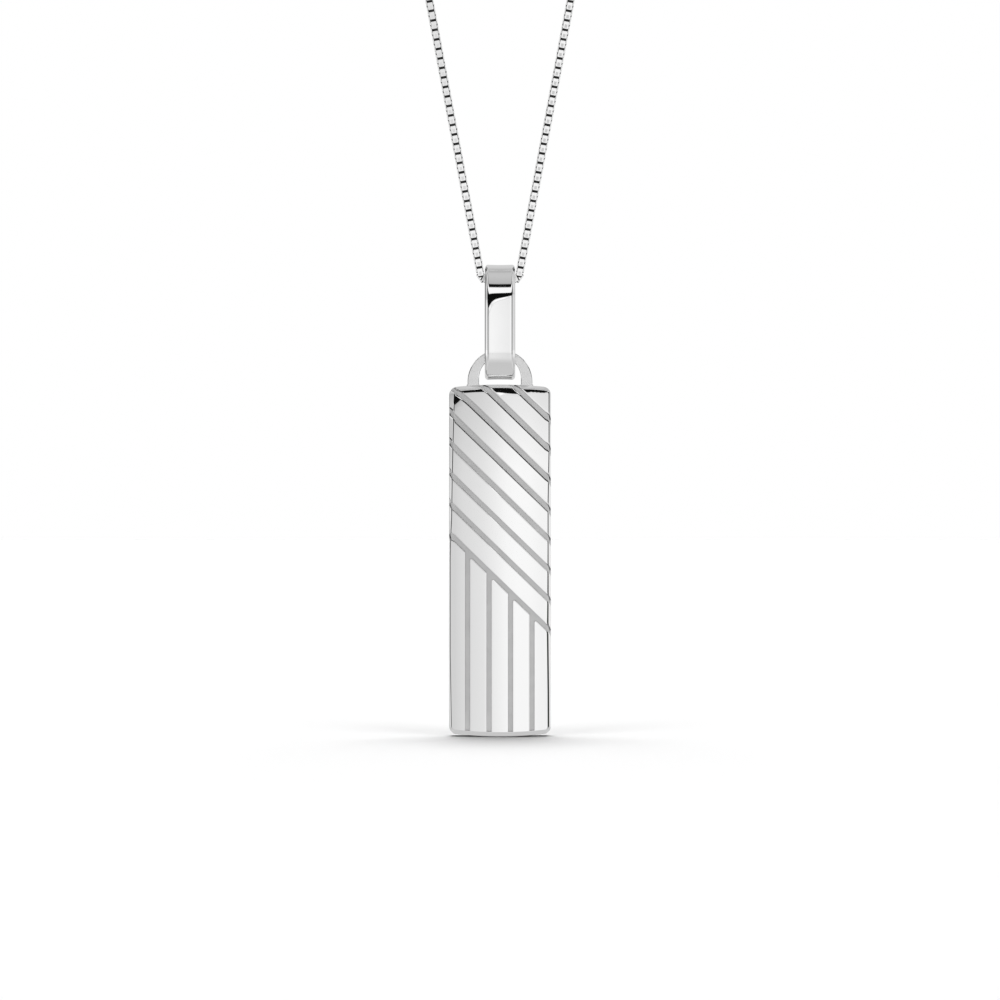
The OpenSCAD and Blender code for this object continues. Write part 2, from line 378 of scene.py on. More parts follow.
def bar_place(p, sunk):
    """Places on the bar's front and edges for chart points, sunk by a share of the grooves' depth."""
    near, outward, past = inner_outline(p)
    depth, slope_x, slope_z = front_height(near)
    lean = np.arctan(slope_x * outward[:, 0] + slope_z * outward[:, 1])
    out, back = roll(past, lean, *edge_sizes(near, outward))
    kept = 1 - sunk * NOTCH_D / EDGE_IN
    x = near[:, 0] + outward[:, 0] * out * kept
    z = near[:, 1] + outward[:, 1] * out * kept
    y = depth + back + sunk * GROOVE_D * (1 - past / ROLL_END)
    return np.stack([x, y, bowed(x, z)], 1)


def chart_slopes(p, sunk, step=0.002):
    """How the place moves with each of the two chart directions."""
    right = np.array([step, 0])
    up = np.array([0, step])
    across = (bar_place(p + right, sunk) - bar_place(p - right, sunk)) / (2 * step)
    along = (bar_place(p + up, sunk) - bar_place(p - up, sunk)) / (2 * step)
    return across, along


def cut(polygon, direction, limit):
    """The part of a convex polygon where direction . point is at most limit."""
    kept = []
    for i, here in enumerate(polygon):
        before = polygon[i - 1]
        reach_before = before @ direction - limit
        reach_here = here @ direction - limit
        if (reach_before > 0) != (reach_here > 0):
            kept.append(before + (here - before) * reach_before / (reach_before - reach_here))
        if reach_here <= 0:
            kept.append(here)
    return kept


def rib_polygons():
    """The flat top of each rib between the grooves as a convex polygon in the chart, past the bar's edges,
    with how far its polished edge tilts."""
    side = BAR_W / 2 + 2
    sheet = [np.array(corner, float) for corner in
             ((-side, -BAR_L - 2), (side, -BAR_L - 2), (side, 2), (-side, 2))]
    across = np.array([math.sin(SLANT), math.cos(SLANT)])
    middle = [across[1] * (-SLANT_LAST + i * SLANT_STEP) for i in range(SLANT_COUNT)]
    inset = GROOVE_W / 2 + RIB_EDGE
    ribs = []
    for i in range(SLANT_COUNT):
        rib = cut(sheet, -across, -middle[i] - inset)
        if i + 1 < SLANT_COUNT:
            rib = cut(rib, across, middle[i + 1] - inset)
        low, high = SLANT_TILTS
        ribs.append((rib, low + (high - low) * smooth_step(i, 1.8, 4.5)))
    below = cut(sheet, across, middle[0] - inset)
    right = np.array([1.0, 0.0])
    edges = [UPRIGHT_FIRST + i * UPRIGHT_STEP for i in range(UPRIGHT_COUNT)]
    for i in range(UPRIGHT_COUNT + 1):
        rib = below
        if i > 0:
            rib = cut(rib, -right, -edges[i - 1] - inset)
        if i < UPRIGHT_COUNT:
            rib = cut(rib, right, edges[i] - inset)
        ribs.append((rib, UPRIGHT_TILT))
    ribs.append((cut(sheet, np.array([0.0, 1.0]), -BAR_L + GROOVE_END - RIB_EDGE), UPRIGHT_TILT))
    return [(np.array(rib), tilt) for rib, tilt in ribs]


def past_ribs(p, ribs):
    """Distance of chart points past the nearest rib's flat top, negative inside it, and the sine of the
    tilt of that rib's edge."""
    best = np.full(len(p), 1e9)
    tilt_sine = np.zeros(len(p))
    for rib, tilt in ribs:
        edge = np.roll(rib, -1, 0) - rib
        length = np.linalg.norm(edge, axis=1)
        outward = np.stack([edge[:, 1], -edge[:, 0]], 1) / length[:, None]
        to_p = p[:, None, :] - rib[None]
        inside = (to_p * outward[None]).sum(2).max(1)
        share = np.clip((to_p * edge[None]).sum(2) / length[None] ** 2, 0, 1)
        gap = np.linalg.norm(to_p - share[..., None] * edge[None], axis=2).min(1)
        distance = np.where(inside < 0, inside, gap)
        tilt_sine = np.where(distance < best, math.sin(tilt), tilt_sine)
        best = np.minimum(best, distance)
    return best, tilt_sine


def rib_ring(rib, distance, step=0.35, turns=4):
    """A closed line round a rib at a distance past its flat top, with round corners."""
    ring = []
    count = len(rib)
    for i in range(count):
        here, after = rib[i], rib[(i + 1) % count]
        into = here - rib[i - 1]
        out = after - here
        first = math.atan2(-into[0], into[1])
        bend = math.atan2(into[0] * out[1] - into[1] * out[0], into @ out)
        arc = [here + distance * np.array([math.cos(a), math.sin(a)])
               for a in first + bend * np.arange(turns + 1) / turns]
        ring.extend(arc if distance > 0 else arc[:1])
        shift = arc[-1] - here
        pieces = max(1, int(np.linalg.norm(out) / step))
        ring.extend(here + shift + out * k / pieces for k in range(1, pieces))
    return ring


def outline_ring(past, step=0.35, turns=5):
    """A closed line in the chart round the inner outline, at a distance past it."""
    core_x = BAR_W / 2 - EDGE_IN - INNER_CORNER_R
    top = -EDGE_IN - INNER_CORNER_R
    bottom = -BAR_L + EDGE_IN + INNER_CORNER_R
    corners = ((-core_x, bottom), (core_x, bottom), (core_x, top), (-core_x, top))
    core = [np.array(corner) for corner in corners]
    return rib_ring(core, INNER_CORNER_R + past, step, turns)


def shoulder_stops():
    """Distances past a rib's flat top for the lines round it: over its rolled edge and down the wall."""
    rolled = [RIB_ROLL * k / 6 for k in range(7)]
    sharp = [RIB_ROLL + RIB_SHARP * k / 3 for k in range(1, 4)]
    return rolled + sharp + [RIB_EDGE + WALL_RUN]


def rib_shape(distance, tilt_sine):
    """Share of the grooves' depth, and sine of the surface's tilt, at a distance past a rib's flat top:
    a gentle curve that flattens out at the rib's own tilt, a sharp edge and then the wall."""
    sharp_r = RIB_SHARP / (1 - tilt_sine)
    over = np.clip(distance / RIB_ROLL, 0, 1)
    past = np.clip(distance - RIB_ROLL, 0, RIB_SHARP)
    sine = np.minimum(tilt_sine * over * (2 - over) + past / sharp_r, 1)
    edge_sine = np.minimum(tilt_sine + past / sharp_r, 1)
    drop = RIB_ROLL * tilt_sine * over ** 2 * (1 - over / 3)
    drop = drop + sharp_r * (np.sqrt(1 - tilt_sine ** 2) - np.sqrt(1 - edge_sine ** 2))
    wall = np.clip((distance - RIB_EDGE) / WALL_RUN, 0, 1)
    return drop / GROOVE_D * (1 - wall) + wall, sine


def roll_levels():
    """Distances past the inner outline at which lines run round the rolled edge."""
    a, b, c, d = ROLL_STOPS
    levels = [0, a]
    levels += [a + (b - a) * k / 4 for k in range(1, 5)]
    levels += [c]
    levels += [c + (d - c) * k / 3 for k in range(1, 4)]
    return levels + [ROLL_END]


def past_border(p, border):
    """Distance of chart points past a convex line round the chart, negative inside it."""
    edge = np.roll(border, -1, 0) - border
    outward = unit(np.stack([edge[:, 1], -edge[:, 0]], 1))
    return ((p[:, None, :] - border[None]) * outward[None]).sum(2).max(1)


def chart_triangles(ribs):
    """Triangles over the whole chart that follow every line round the ribs and the outline, and the points
    of its rim in order."""
    points = []
    edges = []
    border = np.array(outline_ring(ROLL_END))

    def add_ring(ring):
        first = len(points)
        points.extend(ring)
        edges.extend((first + k, first + (k + 1) % len(ring)) for k in range(len(ring)))

    for level in roll_levels():
        add_ring(outline_ring(level))
    for rib, _ in ribs:
        for stop in shoulder_stops():
            add_ring(rib_ring(rib, stop))
    xs = np.arange(-BAR_W / 2 + 0.6, BAR_W / 2 - 0.5, 0.4)
    zs = np.concatenate([np.arange(-0.68, -2.0, -0.12), np.arange(-2.2, -BAR_L + 0.6, -0.45)])
    fill = np.array([(x, z) for z in zs for x in xs])
    inside = past_ribs(fill, ribs)[0] < -0.12
    points.extend(fill[inside])
    flat, _, faces, _, _, _ = delaunay_2d_cdt([tuple(p) for p in points], edges, [], 0, 1e-5)
    flat = np.array([tuple(p) for p in flat], float)
    faces = np.array([face for face in faces if len(face) == 3])
    faces = faces[past_border(flat[faces].mean(1), border) < 0]
    used, faces = np.unique(faces, return_inverse=True)
    flat = flat[used]
    faces = faces.reshape(-1, 3)
    a, b, c = (flat[faces[:, k]] for k in range(3))
    turn = (b - a)[:, 0] * (c - a)[:, 1] - (b - a)[:, 1] * (c - a)[:, 0]
    faces[turn < 0] = faces[turn < 0][:, ::-1]
    rim = np.flatnonzero(past_border(flat, border) > -1e-5)
    around = np.arctan2(flat[rim, 1] + BAR_L / 2, flat[rim, 0])
    return flat, faces, rim[np.argsort(around)]


def build_bar():
    """The grooved bar as one closed mesh: ribs, grooves, rolled edges, sides and flat back."""
    ribs = rib_polygons()
    flat, faces, rim = chart_triangles(ribs)
    distance, tilt_sine = past_ribs(flat, ribs)
    sunk, sine = rib_shape(distance, tilt_sine)
    places = bar_place(flat, sunk)

    # Directions of the base surface, and the downhill direction off each rib
    across, along = chart_slopes(flat, np.zeros(len(flat)))
    base_normal = unit(np.cross(across, along))
    across_low, along_low = chart_slopes(flat, np.ones(len(flat)))
    low_normal = unit(np.cross(across_low, along_low))
    step = 0.003
    rise = np.stack([
        past_ribs(flat + [step, 0], ribs)[0] - past_ribs(flat - [step, 0], ribs)[0],
        past_ribs(flat + [0, step], ribs)[0] - past_ribs(flat - [0, step], ribs)[0],
    ], 1)
    downhill = unit(across * rise[:, :1] + along * rise[:, 1:])
    cosine = np.sqrt(1 - sine ** 2)
    shoulder_normal = unit(base_normal * cosine[:, None] + downhill * sine[:, None])

    middle_distance = past_ribs(flat[faces].mean(1), ribs)[0]
    floor = middle_distance > RIB_EDGE + WALL_RUN
    wall = (middle_distance > RIB_EDGE) & ~floor
    normals = shoulder_normal[faces]
    normals[wall] = downhill[faces[wall]]
    by_wall = np.clip((RIB_EDGE + GROOVE_W / 2 - distance) / (GROOVE_W / 2 - WALL_RUN), 0, 1)
    lean = np.where(downhill[:, 2] < 0, FLOOR_LEAN * by_wall, 0)
    floor_normal = unit(low_normal * FLOOR_FOLLOW + downhill * lean[:, None] + [0, -FLOOR_FACING, 0])
    normals[floor] = floor_normal[faces[floor]]
    face_list = [tuple(face) for face in faces]
    corner_normals = [normal for corners in normals for normal in corners]
    face_materials = list(np.where(floor | wall, 1, 0))

    # The chart's rim in order, then the sides back to a rounded edge and the flat back
    outward = inner_outline(flat[rim])[1]
    count = len(rim)
    points = list(places)
    full = bar_place(flat[rim], np.zeros(count))
    side_normal = unit(base_normal[rim] * [1, 0, 1])
    out = np.stack([outward[:, 0], np.zeros(count), outward[:, 1]], 1)
    full_index = np.where(sunk[rim] > 1e-6, len(points) + np.arange(count), rim)
    points.extend(full)
    for k in range(count):
        k2 = (k + 1) % count
        ledge = [rim[k2], rim[k], full_index[k], full_index[k2]]
        ledge = [v for i, v in enumerate(ledge) if v != ledge[i - 1]]
        if len(set(ledge)) > 2:
            face_list.append(tuple(ledge))
            corner_normals.extend([(0, -1, 0)] * len(ledge))
            face_materials.append(1)
    back_r = 0.18
    rings = [(full_index, side_normal)]
    for k in range(6):
        a = math.radians(18 * k)
        ring = full.copy()
        ring[:, 1] = BACK_Y - back_r * (1 - math.sin(a))
        ring -= out * back_r * (1 - math.cos(a))
        rings.append((len(points) + np.arange(count), unit(side_normal * math.cos(a) + [0, math.sin(a), 0])))
        points.extend(ring)
    for (low, low_n), (high, high_n) in zip(rings, rings[1:]):
        for k in range(count):
            k2 = (k + 1) % count
            face_list.append((low[k2], low[k], high[k], high[k2]))
            corner_normals.extend([low_n[k2], low_n[k], high_n[k], high_n[k2]])
            face_materials.append(0)
    face_list.append(tuple(rings[-1][0][::-1]))
    corner_normals.extend([(0, 1, 0)] * count)
    face_materials.append(2)

    used, packed = np.unique(np.concatenate([np.array(face) for face in face_list]), return_inverse=True)
    points = np.array(points)[used] + [0, 0, BAR_TOP]
    ends = np.cumsum([0] + [len(face) for face in face_list])
    face_list = [tuple(packed[a:b]) for a, b in zip(ends, ends[1:])]
    materials = [polished, blasted, brushed]
    return make_piece("bar_body", points, face_list, corner_normals, materials, face_materials)


def build_eye():
    """The half ring soldered on the bar's top, with satin faces and small solder fillets at its feet."""
    fillet = 0.08
    foot_z = [-0.25, 0.0, 0.006, 0.018, 0.036, fillet]
    leg = [(z, z) for z in foot_z] + [(EYE_RISE, EYE_HOLE_RISE)]
    stations = []
    for outer_z, inner_z in leg:
        stations.append(((EYE_R, outer_z), (EYE_HOLE_R, inner_z), (1.0, 0.0)))
    arc_steps = 48
    for k in range(1, arc_steps):
        a = math.pi * k / arc_steps
        across = (math.cos(a), math.sin(a))
        stations.append(((EYE_R * across[0], EYE_RISE + EYE_R * across[1]),
                         (EYE_HOLE_R * across[0], EYE_HOLE_RISE + EYE_HOLE_R * across[1]), across))
    for outer, inner, across in [stations[i] for i in range(len(leg) - 1, -1, -1)]:
        stations.append(((-outer[0], outer[1]), (-inner[0], inner[1]), (-across[0], across[1])))

    points = []
    normals = []
    flat = []
    for outer, inner, across in stations:
        height = outer[1]
        swell = fillet - math.sqrt(max(0.0, fillet ** 2 - (fillet - min(max(height, 0.0), fillet)) ** 2))
        outer = np.array(outer) + swell * np.array(across)
        inner = np.array(inner) - swell * np.array(across)
        width = np.linalg.norm(outer - inner)
        half = EYE_T / 2 + swell
        edge = 0.11
        section, turned = rounded_section([
            (0, -half, edge, 4), (width, -half, edge, 4), (width, half, edge, 4), (0, half, edge, 4)])
        share = section[:, :1] / width
        line = inner * (1 - share) + outer * share
        points.append(np.stack([line[:, 0], section[:, 1], line[:, 1]], 1))
        normals.append(np.stack([turned[:, 0] * across[0], turned[:, 1], turned[:, 0] * across[1]], 1))
        flat.append(np.abs(turned[:, 1]) > 0.999)
    rows, cols = len(points), len(points[0])
    points = np.array(points).reshape(-1, 3) + [0, 0, BAR_TOP]
    normals = np.array(normals).reshape(-1, 3)
    flat = np.array(flat).reshape(-1)
    faces = grid_faces(rows, cols, False, True)
    face_materials = [0 if all(flat[v] for v in face) else 1 for face in faces]
    corner_normals = [normals[v] for face in faces for v in face]
    for cap in (tuple(range(cols))[::-1], tuple(range((rows - 1) * cols, rows * cols))):
        faces.append(cap)
        corner_normals.extend([(0, 0, -1)] * cols)
        face_materials.append(1)
    return make_piece("eye", points, faces, corner_normals, [satin, polished], face_materials)


# Bail

def bail_stations():
    """Round the bail's side view from the top over the front: outer point, inner point and outward
    direction, each as (y, z) below the bail's top."""
    inset = BAIL_WALL
    low_outer = (0, -BAIL_H + BAIL_HALF)
    low_inner = (0, -BAIL_H + BAIL_FLOOR + BAIL_HALF - inset)
    crown = (0, -CROWN_R)
    shoulder = (SHOULDER_R - BAIL_HALF, SHOULDER_Z)

    def station(angle, outer_centre, inner_centre, outer_r):
        direction = np.array([-math.cos(angle), math.sin(angle)])
        return outer_centre + outer_r * direction, inner_centre + (outer_r - inset) * direction, direction

    half = [station(a, crown, crown, CROWN_R) for a in np.linspace(math.pi / 2, SHOULDER_ANGLE, 17)]
    half += [station(a, shoulder, shoulder, SHOULDER_R) for a in np.linspace(SHOULDER_ANGLE, 0, 33)[1:]]
    for share in np.linspace(0, 1, 22)[1:-1]:
        outer = np.array([-BAIL_HALF, SHOULDER_Z + share * (low_outer[1] - SHOULDER_Z)])
        inner = np.array([-BAIL_HALF + inset, SHOULDER_Z + share * (low_inner[1] - SHOULDER_Z)])
        half.append((outer, inner, np.array([-1.0, 0.0])))
    half += [station(a, low_outer, low_inner, BAIL_HALF) for a in np.linspace(0, -math.pi / 2, 25)]
    mirror = np.array([-1.0, 1.0])
    return half + [tuple(part * mirror for part in stop) for stop in half[-2:0:-1]]


def bail_section(thick, front, flare):
    """The strip's section at a station, with its normals: bevels that are widest at the front, a face
    that is hollow by a hair, and eased inner edges."""
    half = BAIL_W / 2
    bevel_x = 0.18 + 0.16 * front
    bevel_h = 0.25 + 0.2 * front
    corners = [
        (half - flare, 0, 0.2, 4), (half, flare, 0.12, 3), (half, thick - bevel_h, 0.5, 7),
        (half - bevel_x, thick, 0.26, 8), (-half + bevel_x, thick, 0.26, 8), (-half, thick - bevel_h, 0.5, 7),
        (-half, flare, 0.12, 3), (-half + flare, 0, 0.2, 4)]
    section, turned = rounded_section(corners)
    before = sum(steps + 1 for _, _, _, steps in corners[:4])
    reach = section[before - 1, 0]
    across = np.linspace(reach, -reach, 16)[1:-1]
    hollow = 0.03
    face = np.stack([across, thick - hollow * (1 - (across / reach) ** 2)], 1)
    lean = np.stack([-2 * hollow * across / reach ** 2, np.ones(len(across))], 1)
    return (np.concatenate([section[:before], face, section[before:]]),
            unit(np.concatenate([turned[:before], lean, turned[before:]])))


def polished_rise(x, z, rise):
    """Sine of how far the bail's front looks up at a place, from the sine that its plain shape has: the
    polish runs the shoulder out further on the left, leaves the flat below leaning forward a little, and
    leaves a steady slope above the bottom edge."""
    start, start_rise, flat_rise = -2.95, math.sin(math.radians(13.5)), -math.sin(math.radians(1.5))
    left = np.clip(0.5 - x / 2.36, 0, 1)
    length = 0.43 + 0.65 * left + 1.3 * left ** 8
    run_out = start_rise * (1 - (start - z) / length)
    run_out = np.maximum(run_out, flat_rise)
    polished_flat = np.where(z > start, rise, np.minimum(run_out, np.where(rise < -0.03, rise, 1)))
    edge_height, steady_height = 0.4, 0.5
    edge_rise, steady_rise = -0.92, -0.67
    steepest = np.interp(z + BAIL_H, (edge_height, steady_height), (edge_rise, steady_rise))
    return np.maximum(polished_flat, steepest)


def build_bail():
    """The bail: a loop of wide strip with bevelled outer edges and eased inner ones."""
    points = []
    normals = []
    for outer, inner, direction in bail_stations():
        thick = np.linalg.norm(outer - inner)
        flare = 0.25 + 0.2 * smooth_step(outer[1], -4.5, -2.0)
        section, turned = bail_section(thick, direction[0] ** 2, flare)
        share = section[:, 1:] / thick
        line = inner * (1 - share) + outer * share
        points.append(np.stack([section[:, 0], line[:, 0], line[:, 1]], 1))
        rise = np.full(len(section), direction[1])
        if direction[0] < 0:
            rise = polished_rise(section[:, 0], outer[1], rise)
        ahead = np.sign(direction[0]) * np.sqrt(1 - rise ** 2)
        normals.append(np.stack([turned[:, 0], turned[:, 1] * ahead, turned[:, 1] * rise], 1))
    rows, cols = len(points), len(points[0])
    points = np.array(points).reshape(-1, 3) + [0, 0, BAIL_TOP]
    normals = np.array(normals).reshape(-1, 3)
    faces = grid_faces(rows, cols, True, True)
    corner_normals = [normals[v] for face in faces for v in face]
    return make_piece("bail_strip", points, faces, corner_normals, [polished])


# Chain

def chain_stops():
    """Lengths of the parts of one half of the loop, with the radius of its top arc and its height."""
    top_half = CLASP_L / 2 + 1
    turn = math.pi / 2 + LEAN
    bend = BEND_R * (math.pi / 2 - LEAN)
    known = LOOP_LENGTH / 2 - LEVEL_HALF - bend - top_half
    top_r = (LEVEL_HALF + BEND_R * math.cos(LEAN) + known * math.sin(LEAN) - top_half) / (
        math.cos(LEAN) + turn * math.sin(LEAN))
    strand = known - top_r * turn
    last = top_half - CLASP_L / 2 + CLASP_GRIP
    return LEVEL_HALF, bend, strand, top_r * turn, last, top_r


def chain_place(s):
    """Place (x, z) above the chain's lowest line and direction at a length along the right half."""
    level, bend, strand, top, _, top_r = chain_stops()
    if s <= level:
        return np.array([s, 0.0]), 0.0
    s -= level
    if s <= bend:
        a = s / BEND_R
        return np.array([LEVEL_HALF + BEND_R * math.sin(a), BEND_R * (1 - math.cos(a))]), a
    s -= bend
    a = math.pi / 2 - LEAN
    start = np.array([LEVEL_HALF + BEND_R * math.sin(a), BEND_R * (1 - math.cos(a))])
    along = np.array([math.cos(a), math.sin(a)])
    if s <= strand:
        return start + s * along, a
    s -= strand
    end = start + strand * along
    centre = end + top_r * np.array([-math.sin(a), math.cos(a)])
    b = a + min(s, top) / top_r
    place = centre + top_r * np.array([math.sin(b), -math.cos(b)])
    if s <= top:
        return place, b
    return place + np.array([top - s, 0.0]), math.pi


def link_template(side):
    """One link: a loop of flat wire in the plane of the first two axes, the first along the chain, with
    its points, faces, corner normals and which faces get painted shade where they lie in the dark between
    links, for even and for odd links, the odd ones with a painted shade line along one eased edge too. Its
    ends swell until they almost meet the next link but one, and it has a small worn patch."""
    half = LINK_OUTER / 2
    reach = LINK_LENGTH / 2
    swell = LINK_PITCH - LINK_GAP / 2
    fall = 0.04
    outer_line, outer_turned = rounded_section([
        (reach, -half, 0.03, 1), (swell, -half + fall, 0.03, 1), (swell, half - fall, 0.03, 1),
        (reach, half, 0.03, 1), (-reach, half, 0.03, 1), (-swell, half - fall, 0.03, 1),
        (-swell, -half + fall, 0.03, 1), (-reach, -half, 0.03, 1)])
    hole_x, hole_h = reach - LINK_WIRE, half - LINK_WIRE
    inner_line, _ = rounded_section([
        (hole_x, -hole_h, 0.03, 3), (hole_x, hole_h, 0.03, 3), (-hole_x, hole_h, 0.03, 3),
        (-hole_x, -hole_h, 0.03, 3)])
    ease = 0.03
    band = LINK_BAND / 2
    points = []
    normals = []
    for outside, inside, direction in zip(outer_line, inner_line, outer_turned):
        wire = unit(outside - inside)
        for place, depth, normal_out, normal_side in (
                (outside, band - ease, 1, 0), (outside - wire * ease, band, 0, 1),
                (inside + wire * ease, band, 0, 1), (inside, band - ease, -1, 0),
                (inside, -band + ease, -1, 0), (inside + wire * ease, -band, 0, -1),
                (outside - wire * ease, -band, 0, -1), (outside, -band + ease, 1, 0)):
            points.append((*place, depth))
            down = LINK_DROOP * abs(normal_side)
            normals.append(unit(np.array([*(direction * normal_out - [down, 0]), normal_side])))
    rows, cols = len(outer_line), 8
    faces = grid_faces(rows, cols, True, True)
    plate = faces.pop()
    col = np.arange(len(faces)) % cols
    corner_normals = list(np.array(normals)[np.array(faces)])
    middle = np.abs(np.array(points)[np.array(faces)].mean(1)[:, 0])
    # Painted shade: the swollen ends, which fill the gaps between links, and the faces inside the loop get
    # the near-black silver
    dark = list((middle > reach) | ((col >= 2) & (col <= 4)))
    # A painted shade line along one eased edge of the plate, for odd links
    edge_shade_line = list(col == 0) + [False] * 5

    # The front plate round its worn patch
    first = len(points)
    patch_start, patch_end, patch_half = -0.27, 0.06, 0.13
    points += [(patch_start, -half, -patch_half), (patch_start, -half, patch_half),
               (patch_end, -half, patch_half), (patch_end, -half, -patch_half)]
    plate_normal = unit(np.array([-LINK_DROOP, -1, -0.09 * side]))
    patch_normal = unit(np.array([-LINK_DROOP, -1, 0.22 * side]))
    for k in range(4):
        faces.append((plate[k], plate[(k + 1) % 4], first + (k + 1) % 4, first + k))
        corner_normals.append(np.tile(plate_normal, (4, 1)))
        dark.append(False)
    faces.append(tuple(range(first, first + 4)))
    corner_normals.append(np.tile(patch_normal, (4, 1)))
    dark.append(False)
    dark = np.array(dark)
    return np.array(points), np.array(faces), np.array(corner_normals), (dark, dark | edge_shade_line)


def build_chain(name, side, first_link):
    """One half of the box chain as one joined mesh. side is 1 for the right half and -1 for the left."""
    points, faces, normals, dark = link_template(side)
    total = sum(chain_stops()[:5])
    count = round(total / LINK_PITCH)
    pitch = total / count
    all_points = []
    all_normals = []
    all_faces = []
    all_dark = []
    depth = np.array([0.0, 1.0, 0.0])
    for i in range(first_link, count + 1):
        (x, z), angle = chain_place(min(i * pitch, total - LINK_LENGTH / 2))
        along = np.array([side * math.cos(angle), 0, math.sin(angle)])
        aside = np.array([-side * math.sin(angle), 0, math.cos(angle)])
        turn = np.array((along, aside, depth) if i % 2 == 0 else (along, depth, aside))
        order = slice(None) if np.linalg.det(turn) > 0 else slice(None, None, -1)
        all_faces.append(faces[:, ::-1][:, order] + len(all_faces) * len(points))
        all_normals.append((normals @ turn)[:, ::-1][:, order].reshape(-1, 3))
        all_points.append(points @ turn + [side * x, 0, CHAIN_Z + z])
        # Painted shade on the faces between links, with the painted edge line on odd links
        all_dark.append(dark[i % 2])
    return make_piece(
        name, np.concatenate(all_points), np.concatenate(all_faces), np.concatenate(all_normals),
        [link_silver, link_painted_shade], np.concatenate(all_dark))


def build_clasp():
    """The plain barrel clasp, turned about X, with tapered ends and a blind hole in each for the chain."""
    half = CLASP_L / 2
    corners = [
        (half, CLASP_HOLE_R, 0.1, 4), (half, CLASP_END_D / 2, 0.18, 5),
        (half - CLASP_TAPER, CLASP_D / 2, 0.8, 6), (0, CLASP_D / 2, 0.1, 1), (0, CLASP_HOLE_R, 0.1, 1)]
    section, turned = rounded_section(corners)
    outer = sum(steps + 1 for _, _, _, steps in corners[:3])
    right = [((half - CLASP_HOLE_D, CLASP_HOLE_R), (0.0, -1.0))] + list(zip(section[:outer], turned[:outer]))
    left = [((-x, r), (-n_x, n_r)) for (x, r), (n_x, n_r) in right[::-1]]
    profile = right + left
    cols = 48
    angles = [2 * math.pi * k / cols for k in range(cols)]
    points = [(x, r * math.cos(a), CLASP_Z + r * math.sin(a)) for (x, r), _ in profile for a in angles]
    normals = [(n_x, n_r * math.cos(a), n_r * math.sin(a)) for _, (n_x, n_r) in profile for a in angles]
    faces = [face[::-1] for face in grid_faces(len(profile), cols, False, True)]
    corner_normals = [normals[v] for face in faces for v in face]
    faces.append(tuple(range(cols)))
    corner_normals.extend([(1, 0, 0)] * cols)
    faces.append(tuple(range(len(points) - cols, len(points)))[::-1])
    corner_normals.extend([(-1, 0, 0)] * cols)
    return make_piece("clasp_barrel", points, faces, corner_normals, [clasp_silver])


# Studio

def ramp(tree, value, stops):
    """A colour ramp of greys over a value from 0 to 1."""
    node = tree.nodes.new("ShaderNodeValToRGB")
    elements = node.color_ramp.elements
    while len(elements) < len(stops):
        elements.new(0.5)
    for element, (place, tone) in zip(elements, stops):
        element.position = place
        element.color = (tone, tone, tone, 1)
    tree.links.new(value, node.inputs["Fac"])
    return node.outputs["Color"]


def math_node(tree, operation, *values):
    """A math node on links or plain numbers."""
    node = tree.nodes.new("ShaderNodeMath")
    node.operation = operation
    for socket, value in zip(node.inputs, values):
        if isinstance(value, (int, float)):
            socket.default_value = value
        else:
            tree.links.new(value, socket)
    return node.outputs["Value"]


def mix_colors(tree, share, first, second):
    """A mix of two colours, each a link or a grey tone."""
    node = tree.nodes.new("ShaderNodeMix")
    node.data_type = "RGBA"
    sockets = [s for s in node.inputs if s.type == "RGBA"]
    tree.links.new(share, node.inputs[0])
    for socket, value in zip(sockets, (first, second)):
        if isinstance(value, (int, float)):
            socket.default_value = (value, value, value, 1)
        else:
            tree.links.new(value, socket)
    return [s for s in node.outputs if s.type == "RGBA"][0]


def multiply_colors(tree, first, second):
    """The product of two colours."""
    node = tree.nodes.new("ShaderNodeMix")
    node.data_type = "RGBA"
    node.blend_type = "MULTIPLY"
    node.inputs[0].default_value = 1.0
    sockets = [s for s in node.inputs if s.type == "RGBA"]
    tree.links.new(first, sockets[0])
    tree.links.new(second, sockets[1])
    return [s for s in node.outputs if s.type == "RGBA"][0]


def turn_stops(stops, half_range):
    """Ramp stops given in degrees, as places from 0 to 1."""
    return [((degrees + half_range) / (2 * half_range), tone) for degrees, tone in stops]


# Tone of the studio at eye level by azimuth in degrees, 0 towards the camera and 90 to the object's right
AROUND = [(-180, 0.02), (-160, 0.02), (-118, 0.02), (-113, 0.7), (-109, 0.72), (-107, 0.98), (-90, 0.98),
          (-84, 0.05), (-54, 0.05), (-48, 0.55), (-42, 0.64), (-38, 0.69), (-33, 0.73), (-26, 0.755),
          (-15, 0.8), (-4, 0.88), (5, 0.955), (15, 0.98), (26, 0.972), (36, 0.935), (48, 0.93), (52, 0.03),
          (84, 0.03), (90, 0.8), (102, 0.85), (118, 0.85), (126, 0.75), (150, 0.5), (180, 0.5)]
# Softer tone by azimuth away from eye level, and how much of the tone at eye level shows by elevation
SOFT = [(-180, 0.6), (-150, 0.75), (-120, 0.5), (-95, 0.75), (-72, 0.35), (-45, 0.5), (-33, 0.62),
        (-15, 0.68), (-4, 0.75), (5, 0.81), (15, 0.83), (36, 0.79), (50, 0.7), (72, 0.3), (95, 0.75),
        (120, 0.5), (150, 0.75), (180, 0.6)]
LEVEL_SHARE = [(-90, 0), (-11, 0), (-7, 1), (12, 1), (25, 0), (90, 0)]
# In front, tone by elevation in degrees, and where that takes over from the tone by azimuth
FRONT = [(-90, 0.58), (-52, 0.57), (-38, 0.66), (-26, 0.75), (10.2, 0.9), (10.7, 0.004), (28.5, 0.004),
         (29, 0.98), (39.5, 0.98), (40.5, 0.004), (45.5, 0.004), (46.5, 0.48), (60, 0.56), (70, 0.56),
         (80, 0.47), (90, 0.47)]
FRONT_SHARE = [(-90, 1), (-38, 1), (-24, 0), (9.8, 0), (10.6, 1), (90, 1)]
